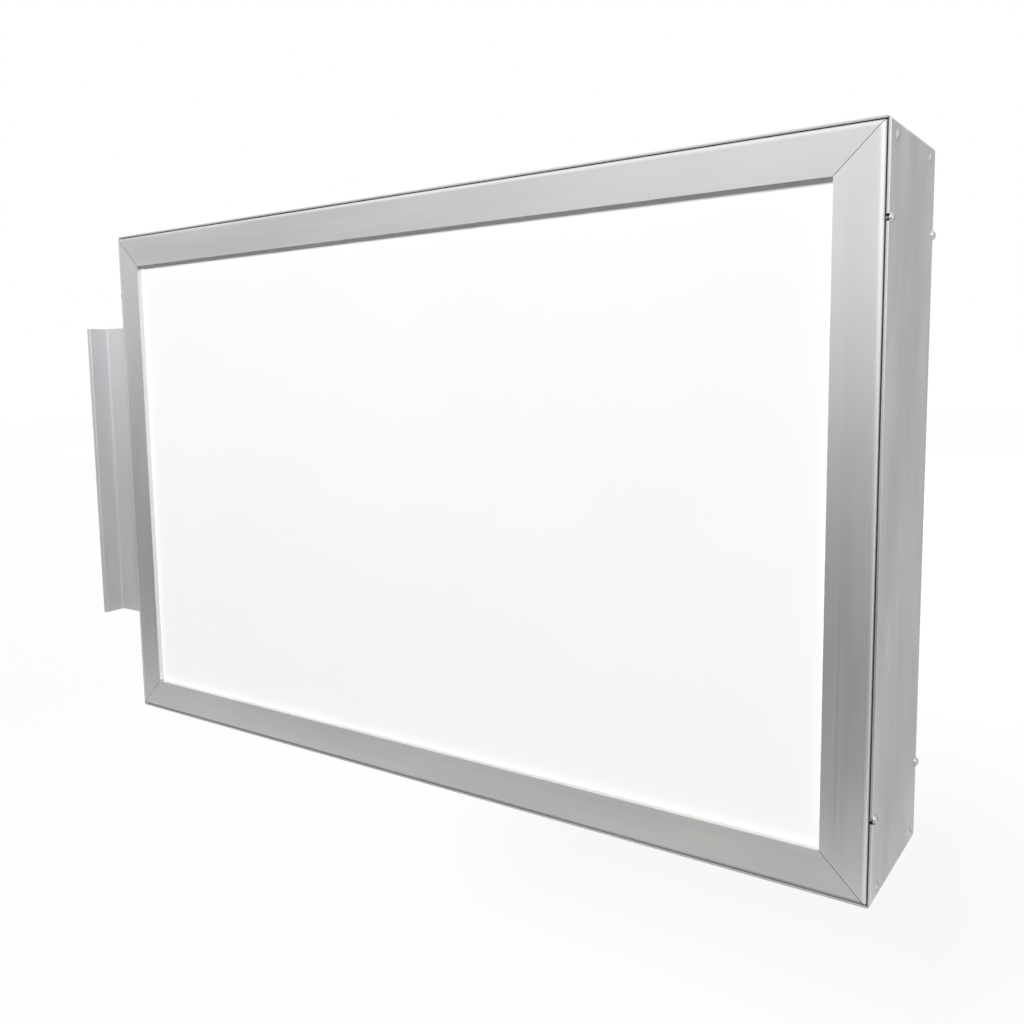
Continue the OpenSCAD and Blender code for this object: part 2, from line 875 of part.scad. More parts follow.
module clamp_screws() {
    color(brass_tone) for (p = [0 : pole_n - 1], e = ends)
        along_x(seat_x + clamp_up, (p - (pole_n - 1) / 2) * pole_pitch, block_z + e * clamp_end)
            difference() {
                cylinder(d = clamp_d, h = clamp_l);
                translate([-clamp_d, -clamp_slot_w / 2, clamp_l - clamp_slot_h])
                    cube([2 * clamp_d, clamp_slot_w, clamp_l]);
            }
}

module block_screws() {
    shank = block_t + seat_x - nut_plate_x;
    color(zinc) for (e = ends)
        translate([seat_x + block_t, e * pole_pitch / 2, block_z])
            rotate([0, -90, 0]) round_screw(block_fix_d, shank, block_head_d, block_head_h);
}

// Leads: a round tube swept along a smooth curve through its route points
function unit(v) = v / norm(v);
function turned(a, b, v) = let (w = cross(a, b), c = a * b) c * v + cross(w, v) + (w * v) / (1 + c) * w;
function route_point(p, i) = p[max(0, min(len(p) - 1, i))];
function curve_point(p, i, t) = let (
        a = route_point(p, i - 1),
        b = route_point(p, i),
        c = route_point(p, i + 1),
        d = route_point(p, i + 2)
    ) (2 * b + t * (c - a) + t * t * (2 * a - 5 * b + 4 * c - d) + t * t * t * (3 * b - a - 3 * c + d)) / 2;
function curve(p, steps) = concat(
    [for (i = [0 : len(p) - 2], k = [0 : steps - 1]) curve_point(p, i, k / steps)], [p[len(p) - 1]]);
// Directions along curve q; the ends follow the route's own end legs, so the cut faces are square
function tangents(q, p) = concat(
    [unit(p[1] - p[0])],
    [for (i = [1 : len(q) - 2]) unit(q[i + 1] - q[i - 1])],
    [unit(p[len(p) - 1] - p[len(p) - 2])]);
function normals(t, i, found) = i == len(t) ? found
    : normals(t, i + 1, concat(found, [turned(t[i - 1], t[i], found[i - 1])]));

lead_sides = 8;
lead_steps = 3;
// Any direction that no lead starts along
askew = [1, 0.3, 0.2];

module lead(route) {
    q = curve(route, lead_steps);
    t = tangents(q, route);
    n = normals(t, 1, [unit(cross(t[0], askew))]);
    rings = len(q);
    points = [for (i = [0 : rings - 1], k = [0 : lead_sides - 1])
        let (b = cross(t[i], n[i]), a = 360 * k / lead_sides)
        q[i] + lead_d / 2 * (cos(a) * n[i] + sin(a) * b)];
    walls = [for (i = [0 : rings - 2], k = [0 : lead_sides - 1])
        let (a = i * lead_sides + k, b = i * lead_sides + (k + 1) % lead_sides)
        each [[a, a + lead_sides, b], [b, a + lead_sides, b + lead_sides]]];
    first = [[for (k = [0 : lead_sides - 1]) k]];
    last = [[for (k = [lead_sides - 1 : -1 : 0]) (rings - 1) * lead_sides + k]];
    polyhedron(points = points, faces = concat(walls, first, last));
}

module mains_leads() {
    color("saddlebrown") lead(mains_routes[0]);
    color("royalblue") lead(mains_routes[1]);
}

module dc_lead_top() {
    color("firebrick") lead(dc_top_route);
}

module dc_lead_bottom() {
    color("firebrick") lead(dc_bottom_route);
}

module earth_lead() {
    color("yellowgreen") lead(earth_route);
}

// Earth stud welded to the casing, with the crimped ring tag of the earth lead and its nut
module earth_stud() {
    color(zinc) along_x(box_x0 + casing_wall, stud_y, stud_z) {
        cylinder(d = stud_foot_d, h = stud_foot_h);
        cylinder(d = stud_d, h = stud_l);
    }
}

module earth_tag() {
    color(brass_tone) translate([tag_x, stud_y, stud_z]) {
        difference() {
            union() {
                rotate([0, 90, 0]) cylinder(d = tag_d, h = tag_t);
                translate([0, -crimp_r / 2, 0]) cube([tag_t, crimp_r, tag_reach - crimp_l / 2]);
                translate([crimp_r, 0, tag_reach - crimp_l]) cylinder(r = crimp_r, h = crimp_l);
            }
            along_x(-over, 0, 0) cylinder(d = stud_d + 2 * key_slack, h = tag_t + 2 * over);
            translate([crimp_r, 0, tag_reach - crimp_l - over])
                cylinder(r = crimp_r - tag_t, h = crimp_l + 2 * over);
        }
    }
}

module hex_nut(flats, h, bore_d) {
    difference() {
        cylinder(d = flats / cos(30), h = h, $fn = 6);
        translate([0, 0, -over]) cylinder(d = bore_d, h = h + 2 * over);
    }
}

module earth_nut() {
    color(zinc) along_x(tag_x + tag_t, stud_y, stud_z)
        hex_nut(stud_flats, stud_nut_h, stud_d + 2 * nut_play);
}

// Bracket section: two flanges joined by a hollow web, with filleted roots and eased edges.
// The wall fixings go in through the box flange and sit inside the web, so none of them shows.
module bracket_section() {
    difference() {
        union() {
            for (x = [0, box_flange_x])
                translate([x, -flange_w / 2]) square([flange_t, flange_w]);
            for (m = sides) mirror([0, m]) {
                translate([0, duct_in_y]) square([reach, web_t]);
                translate([flange_t, duct_w / 2]) corner_waste(web_fillet);
                translate([box_flange_x, duct_w / 2]) mirror([1, 0]) corner_waste(web_fillet);
            }
        }
        for (m = sides) mirror([0, m]) {
            translate([flange_t, -flange_w / 2]) mirror([1, 0]) corner_waste(flange_r);
            translate([box_flange_x, -flange_w / 2]) corner_waste(flange_r);
        }
    }
}

module wall_bracket() {
    color(satin_dark) difference() {
        translate([0, 0, -bracket_h / 2]) linear_extrude(height = bracket_h) bracket_section();
        for (e = ends, f = ends) {
            along_x(-over, e * wall_hole_gap / 2, f * wall_hole_pitch / 2)
                cylinder(d = wall_hole_d, h = flange_t + 2 * over);
            along_x(box_flange_x - over, e * wall_hole_gap / 2, f * wall_hole_pitch / 2)
                cylinder(d = access_d, h = flange_t + 2 * over);
            along_x(box_flange_x - over, e * wing_y, f * bolt_z)
                cylinder(d = bolt_hole_d, h = flange_t + 2 * over);
        }
        along_x(-over, 0, 0) cylinder(d = wall_cable_d, h = flange_t + 2 * over);
        along_x(box_flange_x - over, 0, 0) cylinder(d = grommet_hole_d, h = flange_t + 2 * over);
    }
}

// Caps pushed into both ends of the hollow web, flush with the bracket
module bracket_cap() {
    x0 = flange_t + cap_play;
    cap_w = reach - 2 * x0;
    half_w = duct_in_y - cap_play;
    difference() {
        translate([x0, -half_w, bracket_h / 2 - cap_depth]) cube([cap_w, 2 * half_w, cap_depth]);
        translate([x0 + cap_t, cap_t - half_w, bracket_h / 2 - cap_depth - over])
            cube([cap_w - 2 * cap_t, 2 * half_w - 2 * cap_t, cap_depth - cap_t + over]);
    }
}

module bracket_caps() {
    color(black_rubber) {
        bracket_cap();
        mirror([0, 0, 1]) bracket_cap();
    }
}

// Places one child at every bracket bolt, with z along the bolt and zero at x
module at_bolts(x) {
    for (e = ends, f = ends) along_x(x, e * wing_y, f * bolt_z) children();
}

module bracket_bolts() {
    color(zinc) at_bolts(washer_x) {
        translate([0, 0, -bolt_head_h]) cylinder(d = bolt_flats / cos(30), h = bolt_head_h, $fn = 6);
        cylinder(d = bolt_d, h = bolt_end_x - washer_x);
    }
}

module bracket_washers() {
    color(zinc) at_bolts(washer_x) difference() {
        cylinder(d = washer_d, h = washer_t);
        translate([0, 0, -over]) cylinder(d = bolt_hole_d, h = washer_t + 2 * over);
    }
}

module bracket_nuts() {
    color(zinc) at_bolts(nut_x) hex_nut(bolt_flats, nut_h, bolt_d + 2 * nut_play);
}

// Strips inside the casing that spread the pull of the bracket bolts
module backing_strips() {
    color(zinc) for (e = ends) difference() {
        translate([strip_x, e * wing_y - strip_w / 2, -strip_l / 2]) cube([strip_t, strip_w, strip_l]);
        for (f = ends)
            along_x(strip_x - over, e * wing_y, f * bolt_z)
                cylinder(d = bolt_hole_d, h = strip_t + 2 * over);
    }
}

// Grommet that lines the cable hole through bracket flange and casing wall
module cable_grommet() {
    x0 = box_flange_x - grommet_flange_t;
    grip = flange_t + casing_wall;
    color(black_rubber) along_x(x0, 0, 0) difference() {
        union() {
            cylinder(d = grommet_flange_d, h = grommet_flange_t);
            cylinder(d = grommet_hole_d - 2 * grommet_play, h = grip + 2 * grommet_flange_t);
            translate([0, 0, grommet_flange_t + grip]) cylinder(d = grommet_flange_d, h = grommet_flange_t);
        }
        translate([0, 0, -over]) cylinder(d = grommet_bore, h = grip + 2 * grommet_flange_t + 2 * over);
    }
}

casing_top();
casing_bottom();
casing_left();
casing_right();
front_corner_cleats();
rear_corner_cleats();
corner_rivets();
front_seal();
rear_seal();
front_frame_top();
front_frame_bottom();
front_frame_left();
front_frame_right();
front_corner_keys();
front_panel();
front_frame_screws();
rear_frame_top();
rear_frame_bottom();
rear_frame_left();
rear_frame_right();
rear_corner_keys();
rear_panel();
rear_frame_screws();
led_board_top();
led_board_bottom();
led_chips_top();
led_chips_bottom();
led_lenses_top();
led_lenses_bottom();
led_driver();
driver_screws();
slot_nuts();
terminal_block();
clamp_screws();
block_screws();
mains_leads();
dc_lead_top();
dc_lead_bottom();
earth_stud();
earth_tag();
earth_nut();
earth_lead();
wall_bracket();
bracket_caps();
bracket_bolts();
bracket_washers();
bracket_nuts();
backing_strips();
cable_grommet();
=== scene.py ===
import math
import bmesh
import bpy
from mathutils import Matrix, Vector


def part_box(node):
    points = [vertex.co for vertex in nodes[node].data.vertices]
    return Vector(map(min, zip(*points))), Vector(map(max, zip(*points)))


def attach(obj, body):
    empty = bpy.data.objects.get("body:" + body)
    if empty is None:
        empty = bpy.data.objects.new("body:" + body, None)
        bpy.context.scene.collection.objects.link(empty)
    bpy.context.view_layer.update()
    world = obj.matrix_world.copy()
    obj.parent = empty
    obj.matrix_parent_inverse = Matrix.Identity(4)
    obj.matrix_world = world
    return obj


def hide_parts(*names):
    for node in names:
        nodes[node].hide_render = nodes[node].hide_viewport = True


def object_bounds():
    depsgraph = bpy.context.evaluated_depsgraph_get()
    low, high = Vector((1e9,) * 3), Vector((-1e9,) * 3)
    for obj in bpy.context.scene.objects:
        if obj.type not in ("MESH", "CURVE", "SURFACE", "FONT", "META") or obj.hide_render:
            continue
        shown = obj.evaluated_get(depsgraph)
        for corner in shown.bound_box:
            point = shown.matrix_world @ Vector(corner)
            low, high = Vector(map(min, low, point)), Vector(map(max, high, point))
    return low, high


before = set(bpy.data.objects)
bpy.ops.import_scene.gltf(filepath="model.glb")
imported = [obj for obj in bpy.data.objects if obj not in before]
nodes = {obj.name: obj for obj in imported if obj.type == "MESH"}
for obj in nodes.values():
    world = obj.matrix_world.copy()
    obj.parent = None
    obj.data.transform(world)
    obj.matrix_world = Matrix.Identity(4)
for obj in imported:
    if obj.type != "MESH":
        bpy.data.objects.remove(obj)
cadLow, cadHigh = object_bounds()
scene = bpy.context.scene
scene.view_settings.view_transform = "Standard"
print("frame loaded,", len(nodes), "nodes")


def linked(name, data):
    made = bpy.data.objects.new(name, data)
    scene.collection.objects.link(made)
    return made


# camera at the viewpoint of the photo, metres and degrees
viewpoint = {
    "place": (0.7876, -0.5804, 0.0836),
    "turn": (83.44, 1.34, 36.93),
    "lens": 35.59,
    "sensor": 36.0,
    "shift": (0.0772, -0.0240),
}


def setCamera(look):
    data = bpy.data.cameras.new("viewCamera")
    data.lens = look["lens"]
    data.sensor_width = look["sensor"]
    data.shift_x, data.shift_y = look["shift"]
    camera = linked("viewCamera", data)
    camera.location = look["place"]
    camera.rotation_euler = [math.radians(angle) for angle in look["turn"]]
    scene.camera = camera


setCamera(viewpoint)
print("camera set")


# a socket in a node tree; sums on it add Math nodes
class Wire:
    def __init__(self, finish, socket):
        self.finish = finish
        self.socket = socket

    def sum(self, operation, first, second):
        return self.finish.node("ShaderNodeMath", {"operation": operation}, {0: first, 1: second})

    def __add__(self, other):
        return self.sum("ADD", self, other)

    def __radd__(self, other):
        return self.sum("ADD", other, self)

    def __sub__(self, other):
        return self.sum("SUBTRACT", self, other)

    def __rsub__(self, other):
        return self.sum("SUBTRACT", other, self)

    def __mul__(self, other):
        return self.sum("MULTIPLY", self, other)

    def __rmul__(self, other):
        return self.sum("MULTIPLY", other, self)


edgeMask = {"samples": 4, "from": 0.02, "to": 0.25}
noiseMiddle = 0.5


# a node tree in the making
class Finish:
    def __init__(self, tree):
        self.tree = tree
        tree.nodes.clear()

    def feed(self, socket, value):
        if isinstance(value, Wire):
            self.tree.links.new(value.socket, socket)
        elif socket.type == "RGBA":
            socket.default_value = (*value[:3], 1.0)
        else:
            socket.default_value = value

    def node(self, kind, settings, inputs, output=0):
        made = self.tree.nodes.new(kind)
        for key, value in settings.items():
            setattr(made, key, value)
        for key, value in inputs.items():
            self.feed(made.inputs[key], value)
        return Wire(self, made.outputs[output]) if made.outputs else None

    def place(self):
        return self.node("ShaderNodeTexCoord", {}, {}, "Object")

    def stretch(self, scale, shift=(0.0, 0.0, 0.0)):
        inputs = {"Vector": self.place(), "Scale": scale, "Location": shift}
        return self.node("ShaderNodeMapping", {}, inputs)

    def noise(self, vector, scale=1.0, detail=2.0, rough=0.5):
        inputs = {"Vector": vector, "Scale": scale, "Detail": detail, "Roughness": rough}
        return self.node("ShaderNodeTexNoise", {}, inputs)

    def blend(self, share, first, second):
        # a Mix node's colours go in at 6 and 7 and come out at 2
        return self.node("ShaderNodeMix", {"data_type": "RGBA"}, {0: share, 6: first, 7: second}, 2)

    def clip(self, value, low, high):
        inputs = {"Value": value, "From Min": low, "From Max": high}
        return self.node("ShaderNodeMapRange", {}, inputs)

    def bump(self, height, strength, distance):
        inputs = {"Height": height, "Strength": strength, "Distance": distance}
        return self.node("ShaderNodeBump", {}, inputs)

    def edges(self, radius):
        # 0 on flats, rising towards 1 at edges
        soft = self.node("ShaderNodeBevel", {"samples": edgeMask["samples"]}, {"Radius": radius})
        flat = self.node("ShaderNodeNewGeometry", {}, {}, "Normal")
        close = self.node("ShaderNodeVectorMath", {"operation": "DOT_PRODUCT"}, {0: soft, 1: flat}, "Value")
        return self.clip(1 - close, edgeMask["from"], edgeMask["to"])

    def surface(self, inputs):
        shader = self.node("ShaderNodeBsdfPrincipled", {}, inputs)
        self.node("ShaderNodeOutputMaterial", {}, {"Surface": shader})


def newFinish(name):
    material = bpy.data.materials.new(name)
    material.use_nodes = True
    return material, Finish(material.node_tree)


# drawn aluminium: lines run along one axis, soft clouds and rubbed edges; counts are per metre
drawnAluminium = {
    "kinds": {
        "casing": {
            "cool": (0.80, 0.80, 0.83), "warm": (0.82, 0.81, 0.79), "deep": (0.69, 0.69, 0.695),
            "rough": 0.34, "lean": 0.5, "spread": 0.14,
            "cloudCount": 36.0, "cloudLength": 13.0, "patchCount": 12.0, "shares": (0.18, 0.18, 0.64),
        },
        "frame": {
            "cool": (0.82, 0.81, 0.83), "warm": (0.83, 0.82, 0.79), "deep": (0.72, 0.72, 0.72),
            "rough": 0.36, "lean": 0.5, "spread": 0.14,
            "cloudCount": 34.0, "cloudLength": 10.0, "patchCount": 7.0, "shares": (0.20, 0.25, 0.55),
        },
        # painted light: the bracket's aluminium is a paler copy of the casing's, a brighter base colour
        # standing in for light the shaded bracket lacks
        "bracket": {
            "cool": (0.93, 0.92, 0.95), "warm": (0.94, 0.93, 0.90), "deep": (0.86, 0.86, 0.87),
            "rough": 0.42, "lean": 0.3, "spread": 0.12,
            "cloudCount": 34.0, "cloudLength": 10.0, "patchCount": 7.0, "shares": (0.20, 0.25, 0.55),
        },
    },
    "lineCount": 900.0,
    "streakCount": 110.0,
    "lineLength": 2.5,
    "streakShift": (3.1, 1.7, 5.3),
    "cloudShift": (0.7, 2.9, 1.3),
    "patchRange": (0.40, 0.60),
    "edgeRadius": 0.0008,
    "rubbed": (0.88, 0.88, 0.88),
    "rubbedShare": 0.5,
    "lineRough": 0.16,
    "cloudRough": 0.14,
    "edgePolish": 0.06,
    "lineRelief": 0.7,
    "streakRelief": 0.3,
    "bumpStrength": 0.10,
    "bumpDepth": 0.0003,
    "levelTurn": 0.25,
}


def alongOne(count, length, along):
    # texture scale with features drawn out along one axis
    scale = [count] * 3
    scale["xyz".index(along)] = length
    return scale


def aluminium(name, kind, along):
    look = drawnAluminium
    own = look["kinds"][kind]
    material, finish = newFinish(name)
    lineScale = alongOne(look["lineCount"], look["lineLength"], along)
    streakScale = alongOne(look["streakCount"], look["lineLength"], along)
    cloudScale = alongOne(own["cloudCount"], own["cloudLength"], along)
    line = finish.noise(finish.stretch(lineScale), detail=3.0, rough=0.6)
    streak = finish.noise(finish.stretch(streakScale, look["streakShift"]))
    cloud = finish.noise(finish.stretch(cloudScale, look["cloudShift"]), detail=3.0, rough=0.55)
    patch = finish.clip(finish.noise(finish.place(), own["patchCount"]), *look["patchRange"])
    edge = finish.edges(look["edgeRadius"])
    lineShare, streakShare, cloudShare = own["shares"]
    mottle = line * lineShare + streak * streakShare + cloud * cloudShare
    mixed = finish.clip(mottle, noiseMiddle - own["spread"], noiseMiddle + own["spread"])
    tone = finish.blend(mixed, own["deep"], finish.blend(patch, own["cool"], own["warm"]))
    lineRough = (line - noiseMiddle) * look["lineRough"]
    cloudRough = (cloud - noiseMiddle) * look["cloudRough"]
    relief = line * look["lineRelief"] + streak * look["streakRelief"]
    finish.surface({
        "Base Color": finish.blend(edge * look["rubbedShare"], tone, look["rubbed"]),
        "Metallic": 1.0,
        "Roughness": own["rough"] + lineRough + cloudRough - edge * look["edgePolish"],
        "Anisotropic": own["lean"],
        "Anisotropic Rotation": look["levelTurn"] if along == "x" else 0.0,
        "Normal": finish.bump(relief, look["bumpStrength"], look["bumpDepth"]),
    })
    return material


# opal panel: smooth white sheet with a faint glow from the LED rows behind it
opalPanel = {
    "white": (0.93, 0.93, 0.925),
    "shade": (0.90, 0.90, 0.89),
    "cloudCount": 9.0,
    "rough": 0.20,
    "smearScale": (30.0, 30.0, 6.0),
    "smearRough": 0.12,
    "ior": 1.49,
    "glow": (1.0, 0.99, 0.97),
    "dim": (0.86, 0.86, 0.85),
    "strength": 0.02,
    "reach": 0.17,
    "grainCount": 2600.0,
    "bumpStrength": 0.03,
    "bumpDepth": 0.0001,
}


def opal(name, look):
    material, finish = newFinish(name)
    place = finish.place()
    cloud = finish.noise(place, look["cloudCount"], detail=3.0)
    smear = finish.noise(finish.stretch(look["smearScale"]), detail=4.0, rough=0.6)
    grain = finish.noise(place, look["grainCount"])
    height = finish.node("ShaderNodeSeparateXYZ", {}, {"Vector": place}, "Z")
    row = finish.clip(height * height, 0.0, look["reach"] ** 2)
    finish.surface({
        "Base Color": finish.blend(cloud, look["shade"], look["white"]),
        "Roughness": look["rough"] + (smear - noiseMiddle) * look["smearRough"],
        "IOR": look["ior"],
        "Emission Color": finish.blend(row, look["dim"], look["glow"]),
        "Emission Strength": look["strength"],
        "Normal": finish.bump(grain, look["bumpStrength"], look["bumpDepth"]),
    })
    return material


# plated and bare small metals
smallMetal = {
    "kinds": {
        "zinc_steel": {
            "pale": (0.76, 0.77, 0.78), "deep": (0.58, 0.59, 0.62), "rough": 0.30, "grain": 160.0,
        },
        "screw_steel": {
            "pale": (0.70, 0.70, 0.69), "deep": (0.52, 0.52, 0.52), "rough": 0.28, "grain": 420.0,
        },
        "rivet_aluminium": {
            "pale": (0.68, 0.69, 0.70), "deep": (0.54, 0.55, 0.56), "rough": 0.38, "grain": 420.0,
        },
        "brass": {
            "pale": (0.82, 0.68, 0.36), "deep": (0.62, 0.48, 0.22), "rough": 0.28, "grain": 300.0,
        },
    },
    "grainRange": (0.3, 0.7),
    "fineTimes": 9.0,
    "edgeRadius": 0.0004,
    "edgeShare": 0.4,
    "grainRough": 0.18,
    "fineRough": 0.08,
    "bumpStrength": 0.08,
    "bumpDepth": 0.0001,
}


def metal(name, kind):
    look = smallMetal
    own = look["kinds"][kind]
    material, finish = newFinish(name)
    place = finish.place()
    grain = finish.noise(place, own["grain"], detail=4.0, rough=0.6)
    fine = finish.noise(place, own["grain"] * look["fineTimes"])
    edge = finish.edges(look["edgeRadius"])
    tone = finish.blend(finish.clip(grain, *look["grainRange"]), own["deep"], own["pale"])
    grainRough = (grain - noiseMiddle) * look["grainRough"]
    fineRough = (fine - noiseMiddle) * look["fineRough"]
    finish.surface({
        "Base Color": finish.blend(edge * look["edgeShare"], tone, own["pale"]),
        "Metallic": 1.0,
        "Roughness": own["rough"] + grainRough + fineRough,
        "Normal": finish.bump(fine, look["bumpStrength"], look["bumpDepth"]),
    })
    return material


# plastics, rubber, lacquer and lead sheaths
mouldedLook = {
    "kinds": {
        "seal_rubber": {
            "pale": (0.070, 0.070, 0.072), "deep": (0.035, 0.035, 0.036), "rough": 0.70, "grain": 900.0,
        },
        "cap_plastic": {
            "pale": (0.075, 0.075, 0.080), "deep": (0.045, 0.045, 0.048), "rough": 0.48, "grain": 1400.0,
        },
        "board_white": {
            "pale": (0.88, 0.88, 0.85), "deep": (0.80, 0.80, 0.77), "rough": 0.42, "grain": 700.0,
        },
        "chip_phosphor": {
            "pale": (0.95, 0.80, 0.28), "deep": (0.86, 0.66, 0.18), "rough": 0.45, "grain": 2400.0,
        },
        "driver_case": {
            "pale": (0.54, 0.56, 0.59), "deep": (0.46, 0.48, 0.51), "rough": 0.50, "grain": 600.0,
        },
        "block_nylon": {
            "pale": (0.87, 0.87, 0.83), "deep": (0.79, 0.78, 0.73), "rough": 0.40, "grain": 800.0,
        },
        "mains_sheath": {
            "pale": (0.34, 0.18, 0.10), "deep": (0.26, 0.13, 0.07), "rough": 0.44, "grain": 900.0,
        },
        "dc_sheath": {
            "pale": (0.60, 0.06, 0.05), "deep": (0.48, 0.04, 0.04), "rough": 0.42, "grain": 900.0,
        },
        "earth_sheath": {
            "pale": (0.16, 0.46, 0.12), "deep": (0.66, 0.62, 0.10), "rough": 0.42, "grain": 260.0,
        },
    },
    "cloudCount": 40.0,
    "grainShare": 0.5,
    "cloudShare": 0.5,
    "mixRange": (0.35, 0.65),
    "cloudRough": 0.16,
    "bumpStrength": 0.12,
    "bumpDepth": 0.0001,
}


def moulded(name, kind):
    look = mouldedLook
    own = look["kinds"][kind]
    material, finish = newFinish(name)
    place = finish.place()
    grain = finish.noise(place, own["grain"], detail=3.0, rough=0.6)
    cloud = finish.noise(place, look["cloudCount"], detail=3.0)
    mottle = grain * look["grainShare"] + cloud * look["cloudShare"]
    finish.surface({
        "Base Color": finish.blend(finish.clip(mottle, *look["mixRange"]), own["deep"], own["pale"]),
        "Roughness": own["rough"] + (cloud - noiseMiddle) * look["cloudRough"],
        "Normal": finish.bump(grain, look["bumpStrength"], look["bumpDepth"]),
    })
    return material


# clear moulded lens, thin enough to show the board and the chip below it
clearLens = {
    "pale": (0.97, 0.98, 1.0),
    "deep": (0.90, 0.92, 0.95),
    "rough": 0.05,
    "rippleCount": 300.0,
    "rippleRough": 0.04,
    "ior": 1.49,
    "cover": 0.30,
    "bumpStrength": 0.02,
    "bumpDepth": 0.0002,
}


def clear(name, look):
    material, finish = newFinish(name)
    ripple = finish.noise(finish.place(), look["rippleCount"])
    finish.surface({
        "Base Color": finish.blend(ripple, look["deep"], look["pale"]),
        "Roughness": look["rough"] + ripple * look["rippleRough"],
        "IOR": look["ior"],
        "Alpha": look["cover"],
        "Normal": finish.bump(ripple, look["bumpStrength"], look["bumpDepth"]),
    })
    return material


# which way each aluminium piece was drawn
barAlong = {"top": "x", "bottom": "x", "left": "z", "right": "z"}
drawnAlong = {"wall_bracket": ("bracket", "z")}
for bar, along in barAlong.items():
    drawnAlong["casing_" + bar] = ("casing", along)
    for side in ("front", "rear"):
        drawnAlong[side + "_frame_" + bar] = ("frame", along)

finishes = {}
for kind, along in sorted(set(drawnAlong.values())):
    finishes[kind, along] = aluminium(kind + "_drawn_" + along, kind, along)
finishes["opal_acrylic"] = opal("opal_sheet", opalPanel)
finishes["lens_clear"] = clear("clear_lens", clearLens)
for slotName in smallMetal["kinds"]:
    finishes[slotName] = metal(slotName + "_finish", slotName)
for slotName in mouldedLook["kinds"]:
    finishes[slotName] = moulded(slotName + "_finish", slotName)


def dressNodes():
    for name, node in nodes.items():
        for slot in node.material_slots:
            slot.material = finishes[drawnAlong.get(name, slot.material.name)]


dressNodes()
print("finishes made,", len(finishes))


# lamps, world, floor and grey cards that the metal reflects
lamps = {
    "keyLamp": {
        "place": (0.53, -5.45, 3.70), "aim": (0.37, -0.05, 0.0), "size": 1.8, "power": 490.0,
    },
    "rearLamp": {
        "place": (0.23, 5.45, 3.70), "aim": (0.37, 0.05, 0.0), "size": 2.4, "power": 475.0,
    },
}
studio = {
    "background": 1.0,
    "fill": 0.05,
    "floorHigh": -0.60,
    "floorHalf": 14.0,
    "floorTone": (0.13, 0.13, 0.13),
    "nearGlow": 0.825,
    "farGlow": 0.975,
    "nearEnd": 1.5,
    "farStart": 9.0,
}
# a card runs along one axis; its near and far edges are given by the other axis and the height
evenCards = {
    "leftCard": {
        "near": (-1.20, 0.30), "far": (-1.20, 1.40), "from": -2.6, "to": 0.0, "across": "y",
        "tone": 0.75,
    },
    "sideCard": {
        "near": (0.65, -0.59), "far": (0.65, 0.56), "from": 0.66, "to": 1.8, "across": "x",
        "tone": 0.50,
    },
    "lowCard": {
        "near": (-0.40, -0.58), "far": (0.40, -0.58), "from": -0.9, "to": 1.0, "across": "x",
        "tone": 0.34,
    },
    "topCard": {
        "near": (0.10, 1.40), "far": (-1.10, 1.40), "from": -0.8, "to": 1.6, "across": "x",
        "tone": 1.20,
    },
}
# these are dark below and paler above, less so towards the left
gradedCards = {
    "rightCard": {
        "near": (1.60, -0.58), "far": (1.60, 1.20), "from": -2.0, "to": -0.1, "across": "y",
        "dark": 0.35, "pale": 1.50, "darkEnd": -0.30, "paleStart": 0.35,
        "leftShare": 1.0, "leftEnd": -1.1, "rightStart": 0.3,
    },
    "frontCard": {
        "near": (-0.56, -0.455), "far": (-1.35, 0.42), "from": -2.9, "to": 2.3, "across": "x",
        "dark": 0.30, "pale": 1.10, "darkEnd": -0.22, "paleStart": 0.40,
        "leftShare": 0.50, "leftEnd": -1.1, "rightStart": 0.3,
    },
    "rearCard": {
        "near": (0.70, -0.50), "far": (1.50, 0.42), "from": -2.3, "to": 2.9, "across": "x",
        "dark": 0.34, "pale": 1.00, "darkEnd": -0.30, "paleStart": 0.40,
        "leftShare": 0.75, "leftEnd": -1.1, "rightStart": 0.3,
    },
}


def setLamp(name, look):
    data = bpy.data.lights.new(name, "AREA")
    data.size = look["size"]
    data.energy = look["power"]
    lamp = linked(name, data)
    lamp.location = look["place"]
    aimed = Vector(look["aim"]) - Vector(look["place"])
    lamp.rotation_euler = aimed.to_track_quat("-Z", "Y").to_euler()
    lamp.visible_glossy = False  # metal shows the cards and the background instead


def seenRays(finish):
    # 1 for the rays that show the background: camera, mirror and see-through
    share = None
    for ray in ("Is Camera Ray", "Is Glossy Ray", "Is Transmission Ray"):
        wire = finish.node("ShaderNodeLightPath", {}, {}, ray)
        share = wire if share is None else share.sum("MAXIMUM", share, wire)
    return share


def setWorld(look):
    world = bpy.data.worlds.new("studio")
    world.use_nodes = True
    scene.world = world
    finish = Finish(world.node_tree)
    level = look["fill"] + seenRays(finish) * (look["background"] - look["fill"])
    glow = finish.node("ShaderNodeBackground", {}, {"Color": (1.0, 1.0, 1.0), "Strength": level})
    finish.node("ShaderNodeOutputWorld", {}, {"Surface": glow})


def flatSheet(name, corners, material):
    mesh = bpy.data.meshes.new(name)
    mesh.from_pydata(corners, [], [(0, 1, 2, 3)])
    mesh.materials.append(material)
    sheet = linked(name, mesh)
    return sheet


